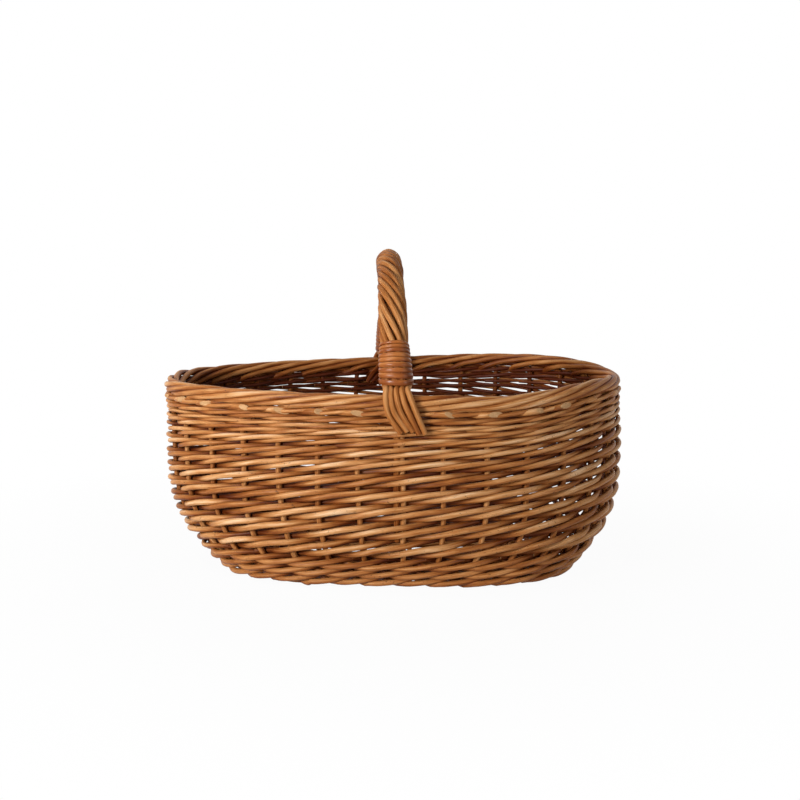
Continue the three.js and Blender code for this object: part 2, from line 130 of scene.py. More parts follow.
RIGHT_PLACES, RIGHT_ANGLES = half_rim(-math.pi / 2)
LEFT_PLACES, LEFT_ANGLES = half_rim(math.pi / 2)
PLACES = np.concatenate([RIGHT_PLACES, HALF + LEFT_PLACES[1:]])
ANGLES = np.concatenate([RIGHT_ANGLES, LEFT_ANGLES[1:]])

RISE = np.linspace(0, 1, PROFILE_SAMPLES)
GROWTHS = np.append(1 - (1 - RISE) ** BELLY_POWER, 1.0)
HEIGHTS = np.append(mix(SPOKE_HEIGHT, BELLY_HEIGHT, RISE), RIM_HEIGHT)
INSETS = (RIM_WIDTH - BASE_WIDTH) / 2 * (1 - GROWTHS)
ALONGS = added_up(np.hypot(np.diff(HEIGHTS), np.diff(INSETS)))
WALL_LENGTH = ALONGS[-1]


def uneven_rim(angle):
    """The right half rises a little and comes down at its end, its near side dips, and the left end sags."""
    right = np.maximum(np.cos(angle), 0) ** 2
    left = np.maximum(-np.cos(angle), 0) ** 2
    near = np.maximum(-np.sin(angle), 0) ** 2
    dip = NEAR_DIP * near * hump(np.cos(angle), NEAR_DIP_PLACE, NEAR_DIP_REACH)
    return RIGHT_RISE * right * (1 - right) - RIGHT_SAG * right ** 3 - LEFT_SAG * left ** 4 - dip


def wall(place, along):
    """Points in the surface of the stakes: place counts stakes, along is measured up the wall."""
    place, along = np.broadcast_arrays(np.asarray(place, float), np.asarray(along, float))
    angle = np.interp(place % STAKES, PLACES, ANGLES)
    growth = np.interp(along, ALONGS, GROWTHS)
    height = np.interp(along, ALONGS, HEIGHTS) + np.maximum(along - WALL_LENGTH, 0)
    x, y = plan(angle, growth)
    rise = (height - SPOKE_HEIGHT) / (RIM_HEIGHT - SPOKE_HEIGHT)
    lift = (RIM_END_RISE * np.cos(angle) ** 2 + RIM_TILT * x + uneven_rim(angle)) * rise ** 2
    pulled_in = RIGHT_PULL * np.maximum(np.cos(angle), 0) ** 2 * rise ** 4
    return np.stack([x - pulled_in, y, height + lift], axis=-1)


def slath_point(stake):
    """Where a stake's base rod enters the crossing in the middle of the base."""
    stake = stake % STAKES
    turn = round(stake / HALF)
    from_middle = stake - turn * HALF
    side = -1 if turn % 2 == 0 else 1
    if abs(from_middle) <= CROSS_RODS_EACH_SIDE:
        return np.array([-side * from_middle * CROSS_ROD_PITCH, side * SLATH_HALF_WIDTH, SPOKE_HEIGHT])
    end = 1 if stake < HALF else -1
    from_end = stake % HALF - HALF / 2
    return np.array([end * SLATH_HALF_LENGTH, end * from_end * LENGTH_ROD_PITCH, SPOKE_HEIGHT])


def spoke_point(stake, inward):
    """A point of a stake's base rod, that far in from the foot of the wall."""
    return mix(wall(stake, 0), slath_point(stake), inward / BASE_REACH)


def surface(place, along):
    """The wall, and below its foot the spokes of the base."""
    place, along = np.broadcast_arrays(np.asarray(place, float), np.asarray(along, float))
    points = wall(place, np.maximum(along, 0))
    for i in np.flatnonzero(along < 0):
        stake = math.floor(place[i])
        start = spoke_point(stake, -along[i])
        points[i] = mix(start, spoke_point(stake + 1, -along[i]), place[i] - stake)
    return points


def frames(place, along):
    """Unit vectors round the basket and outward from its surface."""
    across = unit(surface(place + PLACE_STEP, along) - surface(place - PLACE_STEP, along))
    upward = surface(place, along + ALONG_STEP) - surface(place, along - ALONG_STEP)
    return across, unit(np.cross(across, upward))


def tail_side(stake):
    """Which side of its stake an end of the bow stands on; other stakes have none."""
    if stake % HALF:
        return 0
    return -1 if stake == 0 else 1


# Smooth curves and smooth random values

OCTAVES = 3
OCTAVE_LENGTH = 0.61
OCTAVE_HEIGHT = 0.6
WANDER_HEIGHT = 1.4


def smooth_path(points, per_span):
    """A Catmull-Rom curve through the points."""
    points = np.asarray(points, float)
    padded = np.concatenate([[2 * points[0] - points[1]], points, [2 * points[-1] - points[-2]]])
    share = np.linspace(0, 1, per_span, endpoint=False)[:, None]
    spans = []
    for i in range(len(points) - 1):
        a, b, c, d = padded[i:i + 4]
        square = share ** 2
        cube = share ** 3
        spans.append(0.5 * (2 * b + (c - a) * share + (2 * a - 5 * b + 4 * c - d) * square
                            + (3 * b - a - 3 * c + d) * cube))
    spans.append(points[-1:])
    return np.concatenate(spans)


def spread_out(values, per_span):
    """Values that belong to the points of a smooth path, at each point of its curve."""
    count = (len(values) - 1) * per_span + 1
    return np.interp(np.arange(count) / per_span, np.arange(len(values)), values)


def wander(values, wave):
    """Smooth random values near plus and minus one, with waves about that long."""
    total = np.zeros(len(values))
    for octave in range(OCTAVES):
        length = wave * OCTAVE_LENGTH ** octave
        total += OCTAVE_HEIGHT ** octave * np.sin(2 * math.pi * (values / length + rng.random()))
    return total / WANDER_HEIGHT


# Rods: lengths in millimetres, shades as steps of tone

ROD_SIDES = 10
CUT_CLEARANCE = 0.7
SWELL = 0.03
SWELL_WAVE = 70.0
FIRST_BUD = 10, 60
BUD_PITCH = 57.0
BUD_SHIFT = 16
BUD_SWELL = 0.02, 0.08
BUD_LENGTH = 3.5
# Painted light and shade in the tone: how much darker a face looking in or down is painted, how much looking
# out or up lightens it, and how soon outward counts in full away from the middle
PAINTED_SHADE_INSIDE = 0.42
OUTWARD_PAINTED_LIGHT = 0.75
UPWARD_PAINTED_LIGHT = 0.5
PAINTED_LIGHT_GAIN = 1.6
# Painted shade between rods: how much darker the sides that lie against other rods are painted, and how much
# evener the painted light and shade are on those rods
PAINTED_SHADE_BETWEEN = 0.42
PAINTED_LIGHT_EVENED_BETWEEN = 0.4
NEARLY_UPRIGHT = 0.9
GRAIN_LENGTH = 4000
SHARP_EDGE = math.radians(48)

# Least height of a point over the floor, in metres
GROUND_CLEARANCE = 0.0001


class Rods:
    """Tapered round rods gathered into one mesh."""

    def __init__(self):
        self.points = []
        self.faces = []
        self.grain = []
        self.tone = []
        self.ends = []
        self.count = 0

    def add(self, path, radii, tone, hints=None, sides=ROD_SIDES, flat=1.0, cut=None, slant=0.0, fade=0.0,
            buds=True, open_sides=None):
        """path and radii along the rod; flat thins it in the direction of the hints; cut is the direction
        that the cut at its last end faces, and slant its slope; fade changes its tone along its length, with
        painted shade and with random tone; open_sides point away from the rods that it lies on, give painted
        shade on its other sides, and a cut rod has them."""
        path = np.asarray(path, float)
        radii = np.broadcast_to(np.asarray(radii, float), len(path))
        fade = np.broadcast_to(np.asarray(fade, float), len(path))
        tangents = unit(np.gradient(path, axis=0))
        lengths = added_up(np.linalg.norm(np.diff(path, axis=0), axis=1))
        if cut is not None:
            keep = lengths < lengths[-1] - (slant + CUT_CLEARANCE) * radii[-1]
            keep[-1] = True
            path, radii, tangents = path[keep], radii[keep], tangents[keep]
            lengths, fade, open_sides = lengths[keep], fade[keep], open_sides[keep]
        if buds:
            radii = self.budded(radii, lengths)
        normals = self.normals(tangents, hints)
        asides = np.cross(tangents, normals)
        turns = np.linspace(0, 2 * math.pi, sides, endpoint=False)
        around = (np.cos(turns)[None, :, None] * normals[:, None, :] * flat
                  + np.sin(turns)[None, :, None] * asides[:, None, :])
        offsets = around * radii[:, None, None]
        rings = path[:, None, :] + offsets
        if cut is not None:
            rings[-1] -= slant * (offsets[-1] @ unit(cut))[:, None] * tangents[-1]
        # Painted light and shade: each face's tone is lowered or raised by where it faces, plus the painted
        # shade that fade carries
        shade = self.painted_facing_shade(path, around) + fade[:, None]
        if open_sides is not None:
            shade = self.painted_shade_between(shade, around, open_sides)
        self.keep_rings(rings, lengths, radii, turns, tone + shade)

    @staticmethod
    def budded(radii, lengths):
        """The rod is a little uneven, and swells at each bud."""
        radii = radii * (1 + SWELL * wander(lengths, SWELL_WAVE))
        for bud in np.arange(rng.uniform(*FIRST_BUD), lengths[-1], BUD_PITCH):
            middle = bud + rng.uniform(-BUD_SHIFT, BUD_SHIFT)
            radii = radii * (1 + rng.uniform(*BUD_SWELL) * hump(lengths, middle, BUD_LENGTH))
        return radii

    @staticmethod
    def painted_facing_shade(path, around):
        """Painted light and shade: faces that look out or up are painted lighter, those that look in or down
        darker, as the light falls on them.
        """
        half_sizes = RIM_LENGTH / 2, RIM_WIDTH / 2
        level = path[:, :2] / half_sizes
        near_wall = np.minimum(np.sum(level ** 2, axis=1, keepdims=True) * PAINTED_LIGHT_GAIN, 1)
        outward = unit(level / half_sizes) * near_wall
        facing = np.einsum("ijk,ik->ij", around[:, :, :2], outward)
        return -PAINTED_SHADE_INSIDE * (1 - OUTWARD_PAINTED_LIGHT * facing - UPWARD_PAINTED_LIGHT * around[:, :, 2]) / 2

    @staticmethod
    def painted_shade_between(shade, around, open_sides):
        """Painted shade between rods: rods that lie on others get the painted light and shade more evenly,
        and painted shade on the sides that are not open, where they lie against others.
        """
        facing = np.einsum("ijk,ik->ij", around, open_sides)
        is_open = np.linalg.norm(open_sides, axis=1, keepdims=True)
        evened = shade * (1 - PAINTED_LIGHT_EVENED_BETWEEN * is_open)
        return evened - PAINTED_SHADE_BETWEEN * np.maximum(is_open - np.maximum(facing, 0), 0)

    @staticmethod
    def normals(tangents, hints):
        """Square to the rod, towards the hints or carried along without a twist."""
        if hints is not None:
            return unit(hints - np.sum(hints * tangents, axis=1, keepdims=True) * tangents)
        first = UP if abs(tangents[0][2]) < NEARLY_UPRIGHT else SIDEWAYS
        normals = [unit(first - np.dot(first, tangents[0]) * tangents[0])]
        for tangent in tangents[1:]:
            last = normals[-1]
            normals.append(unit(last - np.dot(last, tangent) * tangent))
        return np.array(normals)

    def keep_rings(self, rings, lengths, radii, turns, tone):
        """Faces between the rings and over both ends, with the values that the material reads."""
        count, sides = rings.shape[:2]
        first = self.count
        self.points.append(rings.reshape(-1, 3))
        start = rng.uniform(0, GRAIN_LENGTH)
        along = np.repeat(lengths + start, sides)
        ring = np.outer(radii, np.cos(turns)).ravel(), np.outer(radii, np.sin(turns)).ravel()
        self.grain.append(np.stack([along, *ring], axis=-1))
        self.tone.append(np.ravel(tone))
        for i in range(count - 1):
            low = first + i * sides
            for j in range(sides):
                k = (j + 1) % sides
                self.faces.append((low + j, low + k, low + sides + k, low + sides + j))
        self.ends.extend([0.0] * ((count - 1) * sides))
        last = first + (count - 1) * sides
        self.faces.append(tuple(range(first + sides - 1, first - 1, -1)))
        self.faces.append(tuple(range(last, last + sides)))
        self.ends.extend([1.0, 1.0])
        self.count += count * sides

    def piece(self, name, node, slot, material):
        """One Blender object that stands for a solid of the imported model."""
        mesh = bpy.data.meshes.new(name)
        points = (np.concatenate(self.points) + SHIFT) * MM
        points[:, 2] = np.maximum(points[:, 2], GROUND_CLEARANCE)
        mesh.from_pydata(points.tolist(), [], self.faces)
        grain = mesh.attributes.new("grain", "FLOAT_VECTOR", "POINT")
        grain.data.foreach_set("vector", np.concatenate(self.grain).ravel())
        tone = mesh.attributes.new("tone", "FLOAT", "POINT")
        tone.data.foreach_set("value", np.concatenate(self.tone))
        end = mesh.attributes.new("end", "FLOAT", "FACE")
        end.data.foreach_set("value", self.ends)
        mesh.polygons.foreach_set("use_smooth", [True] * len(self.faces))
        mesh.set_sharp_from_angle(angle=SHARP_EDGE)
        mesh.materials.append(material)
        mesh.update()
        obj = bpy.data.objects.new(name, mesh)
        bpy.context.scene.collection.objects.link(obj)
        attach(obj, "root")
        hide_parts(node)


# Willow materials

# Noises: scale along the rod and both ways across it, and detail
STREAK_NOISE = (0.035, 0.9, 0.9), 2.5
BLOTCH_NOISE = (0.022, 0.14, 0.14), 3.0
SPECK_NOISE = (0.5, 0.6, 0.6), 2.0
PATCH_NOISE = (0.03, 0.2, 0.2), 2.0
PITH_NOISE = (0.3, 0.55, 0.9), 3.0
NOISE_ROUGHNESS = 0.6
STREAK_STRENGTH = 0.75
BLOTCH_STRENGTH = 0.95
SPECK_RANGE = 0.62, 0.69
PATCH_RANGE = 0.42, 0.62
GLOSS_RANGE = 0.3, 0.7
SMOOTHER_STREAK = 0.09
ROUGHER_STREAK = 0.12
BUMP_DISTANCE = 0.0006
WILLOW_SHINE = 0.13
SPECK_COLOUR = 0.045, 0.018, 0.008
CUT_DARK = 0.27, 0.11, 0.034
CUT_PALE = 0.76, 0.47, 0.23

# Colours of a rod from its darkest tone to its palest: partly the willow's own colours; the deep red dark
# stops also stand in for the shade between rods, where painted shade lowers the tone, and the whiter palest
# stop for a painted highlight on faces painted lighter
HONEY = [(0.075, 0.012, 0.0015), (0.18, 0.047, 0.008), (0.34, 0.122, 0.030), (0.52, 0.25, 0.092),
         (0.70, 0.455, 0.26)]
RUSSET = [(0.065, 0.010, 0.0013), (0.155, 0.038, 0.007), (0.295, 0.097, 0.022), (0.46, 0.197, 0.062),
          (0.64, 0.37, 0.17)]
CANE = [(0.085, 0.014, 0.002), (0.19, 0.045, 0.008), (0.32, 0.098, 0.020), (0.45, 0.18, 0.05),
        (0.58, 0.31, 0.12)]

# The sockets of a mix node that hold colours
FIRST_COLOUR = 6
SECOND_COLOUR = 7
COLOUR_RESULT = 2


def add_node(tree, kind, inputs=None, **settings):
    """A shader node with its settings, and with its inputs set or linked."""
    node = tree.nodes.new(kind)
    for key, value in settings.items():
        setattr(node, key, value)
    for key, value in (inputs or {}).items():
        if isinstance(value, bpy.types.NodeSocket):
            tree.links.new(value, node.inputs[key])
        else:
            node.inputs[key].default_value = value
    return node


def rod_noise(tree, grain, scale, detail):
    """Noise drawn out along the rod."""
    mapping = add_node(tree, "ShaderNodeMapping", {"Vector": grain, "Scale": scale})
    inputs = {"Vector": mapping.outputs[0], "Scale": 1.0, "Detail": detail, "Roughness": NOISE_ROUGHNESS}
    return add_node(tree, "ShaderNodeTexNoise", inputs).outputs["Fac"]


def math_node(tree, operation, *operands):
    return add_node(tree, "ShaderNodeMath", dict(enumerate(operands)), operation=operation).outputs[0]


def centred(tree, noise, strength):
    """The noise, as a change of tone to both sides."""
    return math_node(tree, "MULTIPLY_ADD", noise, strength, -strength / 2)


def map_range(tree, value, from_range, to_range=(0.0, 1.0)):
    inputs = {"Value": value, "From Min": from_range[0], "From Max": from_range[1],
              "To Min": to_range[0], "To Max": to_range[1]}
    return add_node(tree, "ShaderNodeMapRange", inputs).outputs[0]


def mixed_colour(tree, factor, first, second):
    node = add_node(tree, "ShaderNodeMix", {"Factor": factor}, data_type="RGBA")
    for index, value in ((FIRST_COLOUR, first), (SECOND_COLOUR, second)):
        if isinstance(value, bpy.types.NodeSocket):
            tree.links.new(value, node.inputs[index])
        else:
            node.inputs[index].default_value = (*value, 1.0)
    return node.outputs[COLOUR_RESULT]


def tone_colour(tree, level, colours):
    """A ramp with the colours at even steps."""
    ramp = add_node(tree, "ShaderNodeValToRGB", {"Fac": level})
    stops = ramp.color_ramp.elements
    while len(stops) < len(colours):
        stops.new(0.5)
    for i, colour in enumerate(colours):
        stops[i].position = i / (len(colours) - 1)
        stops[i].color = (*colour, 1.0)
    return ramp.outputs["Color"]


def willow(name, colours, roughness, bump, specks, shine=WILLOW_SHINE):
    """Peeled and buffed willow: streaks along the rod, blotches, dark specks and pale cut ends."""
    material = bpy.data.materials.new(name)
    material.use_nodes = True
    tree = material.node_tree
    shader = tree.nodes["Principled BSDF"]
    shader.inputs["Specular IOR Level"].default_value = shine
    grain = add_node(tree, "ShaderNodeAttribute", attribute_name="grain").outputs["Vector"]
    # The tone carries painted light and shade as well as each rod's own tone
    tone = add_node(tree, "ShaderNodeAttribute", attribute_name="tone").outputs["Fac"]
    end = add_node(tree, "ShaderNodeAttribute", attribute_name="end").outputs["Fac"]
    streak = rod_noise(tree, grain, *STREAK_NOISE)
    shade = centred(tree, streak, STREAK_STRENGTH)
    cloud = centred(tree, rod_noise(tree, grain, *BLOTCH_NOISE), BLOTCH_STRENGTH)
    level = math_node(tree, "ADD", math_node(tree, "ADD", tone, shade), cloud)
    speck = map_range(tree, rod_noise(tree, grain, *SPECK_NOISE), SPECK_RANGE)
    patch = map_range(tree, rod_noise(tree, grain, *PATCH_NOISE), PATCH_RANGE, (0.0, specks))
    dark = math_node(tree, "MULTIPLY", speck, patch)
    bark = mixed_colour(tree, dark, tone_colour(tree, level, colours), SPECK_COLOUR)
    wood = mixed_colour(tree, rod_noise(tree, grain, *PITH_NOISE), CUT_DARK, CUT_PALE)
    tree.links.new(mixed_colour(tree, end, bark, wood), shader.inputs["Base Color"])
    gloss = map_range(tree, streak, GLOSS_RANGE, (roughness - SMOOTHER_STREAK, roughness + ROUGHER_STREAK))
    tree.links.new(gloss, shader.inputs["Roughness"])
    inputs = {"Height": streak, "Strength": bump, "Distance": BUMP_DISTANCE}
    relief = add_node(tree, "ShaderNodeBump", inputs).outputs[0]
    tree.links.new(relief, shader.inputs["Normal"])
    return material


stake_look = willow("stake_willow", HONEY, roughness=0.44, bump=0.35, specks=0.7)
weaver_look = willow("weaver_willow", HONEY, roughness=0.44, bump=0.40, specks=0.85)
band_look = willow("band_willow", RUSSET, roughness=0.46, bump=0.40, specks=0.85)
handle_look = willow("handle_willow", HONEY, roughness=0.46, bump=0.15, specks=0.25, shine=0.06)
binding_look = willow("binding_willow", CANE, roughness=0.30, bump=0.2, specks=0.2, shine=0.18)


def rod_tone(middle, spread):
    """A random tone for a rod, never far from the middle one."""
    return float(np.clip(rng.normal(middle, spread), middle - 2 * spread, middle + 2 * spread))


# Stakes: base rod, upright and border tip in one

STAKE_TONE = 0.71, 0.07
STAKE_THICKNESS = 0.95, 1.06
# Painted shade: the uprights are painted darker, as they stand in shade between the weavers
UPRIGHT_PAINTED_SHADE = -0.12
STAKE_SPAN = 3

# A length rod lies this much over the cross rods, and comes down at these shares of its way to the wall
LENGTH_ROD_LIFT = 5.6
LENGTH_ROD_SHARES = 0.25, 0.6

# Alongs of the upright's points, closer where it turns up from the base
BEND_END = 20
BEND_STEP = 4.0
UPRIGHT_STEP = 9.0
UPRIGHT_GAP = 12
UNDER_BORDER = 9.5

# How far an upright sways, over what length, and from which along in full
SWAY = 0.9
SWAY_WAVE = 190.0
SWAY_START = 60

# The rope of the border; wraps and places count stakes
BORDER_RADIUS = 4.9
BORDER_WRAP = 6
BORDER_STEP = 0.35
BORDER_LAST_STEP = BORDER_WRAP - 0.9
BORDER_WANDER = 0.35
BORDER_WAVE = 3.0
BORDER_TIP_RADIUS = 2.95
BORDER_TIP_TAPER = 0.25
LOOSE_PLACE = 21.7
LOOSE_SWELL = 2.6
LOOSE_REACH = 0.8
BELOW_RIM = 0.5

# Where a tip leaves the rope, and how much closer to it the tips stay at the ends of the oval
TIP_PLACES = np.array([-0.64, -0.46, -0.28, -0.08, 0.08])
TIP_TURNS = np.array([-0.55, -0.05, 0.45, 0.74, 0.78])
TIP_RADII = np.array([7.5, 9.3, 10.6, 11.4, 11.7])
# Painted shade on the tip's curls inside and under the rope, where shade falls
TIP_PAINTED_SHADES = [-0.18, -0.22, -0.08, 0.0, 0.0]
CLOSER_TURNS = np.array([0.0, 0.0, 0.0, 0.15, 0.2])
CLOSER_RADII = np.array([0.0, 0.0, 0.0, 1.0, 1.6])
TIP_REACH = -0.2, 0.17
END_TURN = -0.14, 0.12
END_RADIUS = -0.6, 0.7

# The cut at the end of a tip
CUT_PLACE = 0.2
CUT_DEPTH = 8
CUT_TILT = 0.9
CUT_SLANT = 1.4, 3.4


def rim_outward(place):
    """Level unit vectors outward from the rim."""
    _, normal = frames(place, np.full(place.shape, WALL_LENGTH - BELOW_RIM))
    normal[..., 2] = 0
    return unit(normal)


def border_point(place, turn, radius):
    """Turn 0 is below the middle of the border rope, a quarter turn is outside it."""
    turn = np.asarray(turn)[..., None]
    radius = np.asarray(radius)[..., None]
    middle = wall(place, WALL_LENGTH)
    return middle + rim_outward(place) * radius * np.sin(turn) - UP * radius * np.cos(turn)


def border_tip(stake):
    """The tip winds round the rope, dips inside, passes under it and ends outside. Its points, and their
    open sides where it lies in the rope."""
    steps = np.arange(BORDER_STEP, BORDER_LAST_STEP, BORDER_STEP)
    radius = BORDER_RADIUS + BORDER_WANDER * wander(steps, BORDER_WAVE)
    radius += LOOSE_SWELL * hump((stake + steps) % STAKES, LOOSE_PLACE, LOOSE_REACH)
    winding = border_point(stake + steps, 2 * math.pi / BORDER_WRAP * steps, radius)
    open_sides = unit(winding - wall(stake + steps, WALL_LENGTH))
    open_sides = np.concatenate([open_sides, np.zeros((len(TIP_PLACES), 3))])
    last = stake + BORDER_WRAP
    places = TIP_PLACES + rng.uniform(*TIP_REACH)
    at_end = np.cos(np.interp(last % STAKES, PLACES, ANGLES)) ** 2
    turns = TIP_TURNS - CLOSER_TURNS * at_end
    turns[-1] += rng.uniform(*END_TURN)
    radii = TIP_RADII - CLOSER_RADII * at_end
    radii[-1] += rng.uniform(*END_RADIUS)
    return np.concatenate([winding, border_point(last + places, turns, radii)]), open_sides


def stake_rise(stake):
    """The upright, swaying a little and pushed aside by an end of the bow."""
    bend = np.arange(0, BEND_END, BEND_STEP)
    upright = np.arange(BEND_END, WALL_LENGTH - UPRIGHT_GAP, UPRIGHT_STEP)
    alongs = np.concatenate([bend, upright, [WALL_LENGTH - UNDER_BORDER]])
    places = np.full(alongs.shape, float(stake))
    across, _ = frames(places, alongs)
    sway = SWAY * wander(alongs, SWAY_WAVE) * np.clip(alongs / SWAY_START, 0, 1)
    sway -= tail_side(stake) * PAIR_GAP
    return surface(places, alongs) + across * sway[:, None]


def stake_half(stake, middle, is_length_rod):
    """Points from the middle of the base rod to the tip, with their radii, painted shades and open sides."""
    foot = slath_point(stake)
    rise = stake_rise(stake)
    base = [middle, foot, mix(foot, rise[0], 0.5)]
    if is_length_rod:
        base = [middle, foot + UP * LENGTH_ROD_LIFT]
        base += [mix(foot, rise[0], share) for share in LENGTH_ROD_SHARES]
    tip, open_sides = border_tip(stake)
    below = len(base) + len(rise)
    thick = STAKE_RADIUS * rng.uniform(*STAKE_THICKNESS)
    tapered = np.linspace(BORDER_TIP_RADIUS, BORDER_TIP_RADIUS - BORDER_TIP_TAPER, len(tip))
    points = np.concatenate([base, rise, tip])
    radii = np.concatenate([np.full(below, thick), tapered])
    in_rope = np.zeros(len(tip) - len(TIP_PAINTED_SHADES))
    shades = np.concatenate([np.full(below, UPRIGHT_PAINTED_SHADE), in_rope, TIP_PAINTED_SHADES])
    return points, radii, shades, np.concatenate([np.zeros((below, 3)), open_sides])


def cut_facing(stake):
    """The direction that the cut at the end of a stake's tip faces."""
    place = np.array([stake + BORDER_WRAP + CUT_PLACE])
    _, normal = frames(place, np.array([WALL_LENGTH - CUT_DEPTH]))
    return normal[0] + UP * rng.uniform(-CUT_TILT, CUT_TILT)


def stake_rod(name, first, second, is_length_rod):
    """A base rod that turns up at both ends into two stakes."""
    rods = Rods()
    tone = rod_tone(*STAKE_TONE)
    middle = mix(slath_point(first), slath_point(second), 0.5)
    if is_length_rod:
        middle += UP * LENGTH_ROD_LIFT
    for stake in (first, second):
        points, radii, shades, open_sides = stake_half(stake, middle, is_length_rod)
        facing = cut_facing(stake)
        slant = rng.uniform(*CUT_SLANT)
        path = smooth_path(points, STAKE_SPAN)
        thick = spread_out(radii, STAKE_SPAN)
        fade = spread_out(shades, STAKE_SPAN)
        rods.add(path, thick, tone, cut=facing, slant=slant, fade=fade,
                 open_sides=smooth_path(open_sides, STAKE_SPAN))
    rods.piece(name + "_willow", name, "stake_willow", stake_look)


cross_stakes = range(-CROSS_RODS_EACH_SIDE, CROSS_RODS_EACH_SIDE + 1)
for number, stake in enumerate(cross_stakes, start=1):
    stake_rod(f"cross_stake_rod_{number:02d}", stake, HALF - stake, False)
for number in range(1, LENGTH_RODS + 1):
    stake = CROSS_RODS_EACH_SIDE + number
    stake_rod(f"length_stake_rod_{number:02d}", stake, STAKES - stake, True)


# Side weavers: in front of two stakes and behind one, climbing to the right

# Steps count stakes, levels are measured up the wall
STROKE = 3
WEAVE_MIDDLE = 1 / 3
WEAVE_WAVE = 1.125
WEAVE_SHORT_WAVE = 0.208
TUCK = 0.35
TUCK_SLOPE = 5.8
SAMPLES = 8
WEAVER_STEPS = 30
ROW_STEPS = np.arange(0, WEAVER_STEPS + 1, STROKE)
ROW_LEVELS = np.array([32.5, 50.0, 67.3, 82.8, 97.4, 112.9, 126.2, 139.2, 149.2, 157.0, 162.6])
SETTLED_LEVELS = [30, 60, 100, 180]
SETTLED_DEPTHS = [4.2, 3.0, 2.0, 1.5]
STEEP_PLACE = 25.5
STEEP_LIFT = 5.0
STEEP_SHORT_WAVE = 0.5
STROKE_DROP = 0.4
LEVEL_WANDER = 0.5
LEVEL_WAVE = 9.0
LEVEL_SHIFT = 0.4
TAPER_STEPS = [0, 9, 18, 24, 30]
TAPER_RADII = [2.95, 2.8, 2.4, 2.0, 1.6]
WEAVER_THICKNESS = 0.95, 1.07
SIDE_WANDER = 0.05
SIDE_WAVE = 5.0
WEAVER_TONE = 0.65, 0.10
# Painted shade: a strand is painted darker where it passes behind a stake, where shade falls
BEHIND_PAINTED_SHADE = 0.26


def stroke_turn(steps):
    """The angle of a wave that repeats with every stroke."""
    return 2 * math.pi * steps / STROKE


def weave_side(steps):
    """Minus one behind every third stake, plus one in front of the two between."""
    turn = stroke_turn(steps)
    return WEAVE_MIDDLE - WEAVE_WAVE * np.cos(turn) - WEAVE_SHORT_WAVE * np.cos(2 * turn)


def settled(steps):
    """One behind every third stake, where the weaver is pressed down, and none at the others."""
    return (np.cos(stroke_turn(steps)) + 0.5) / 1.5


def woven_path(places, levels, sides, radii):
    """A path that passes the stakes on the given sides, and the outward vectors along it."""
    _, normal = frames(places, levels)
    off = sides * (STAKE_RADIUS + radii)
    return surface(places, levels) + normal * off[:, None], normal


def row_lift(places, levels):
    """The rows climb more steeply round the left end than along the other sides, most at mid-height."""
    turn = 2 * math.pi * (places - STEEP_PLACE) / STAKES
    middle = np.sin(math.pi * np.interp(levels, [ROW_LEVELS[0], ROW_LEVELS[-1]], [0, 1]))
    return STEEP_LIFT * (np.sin(turn) + STEEP_SHORT_WAVE * np.sin(2 * turn)) * middle


def side_weaver(index):
    rods = Rods()
    steps = np.arange(-TUCK, WEAVER_STEPS + TUCK, 1 / SAMPLES)
    levels = np.interp(steps, ROW_STEPS, ROW_LEVELS) + TUCK_SLOPE * np.minimum(steps, 0)
    levels -= np.interp(levels, SETTLED_LEVELS, SETTLED_DEPTHS) * settled(steps)
    levels += row_lift(index + steps, levels)
    levels -= STROKE_DROP * np.sin(stroke_turn(steps))
    levels += LEVEL_WANDER * wander(steps, LEVEL_WAVE) + rng.uniform(-LEVEL_SHIFT, LEVEL_SHIFT)
    radii = np.interp(steps, TAPER_STEPS, TAPER_RADII) * rng.uniform(*WEAVER_THICKNESS)
    sides = weave_side(steps) * (1 + SIDE_WANDER * wander(steps, SIDE_WAVE))
    path, normal = woven_path(index + steps, levels, sides, radii)
    # The tone is painted darker behind the stakes, as shade
    rods.add(path, radii, rod_tone(*WEAVER_TONE), hints=normal, fade=BEHIND_PAINTED_SHADE * (sides - 1))
    name = f"side_weaver_{index + 1:02d}"
    rods.piece(name + "_willow", name, "weaver_willow", weaver_look)


for index in range(STAKES):
    side_weaver(index)


# Wales and base: three strands that go round together, in the wales crossing over each other in each row

STRANDS = 3
STRAND_WAVE = 8.0
THICKNESS_WAVE = 31.0
ROW_CROSSING = 0.29
LOWEST_ROW_CROSSING = 0.24
LOWEST_ROW_END = 0.9
BACK_PLACE = 15
STEP_UP = 0.05
WALE_WANDER = 0.3
WALE_UNEVENNESS = 0.06
WALE_TONE_SPREAD = 0.06
BASE_WANDER = 0.4
BASE_UNEVENNESS = 0.08
BASE_TONE = 0.58, 0.05


def strand_piece(name, strand, rods):
    node = f"{name}_strand_{strand + 1}"
    rods.piece(node + "_willow", node, "band_willow", band_look)


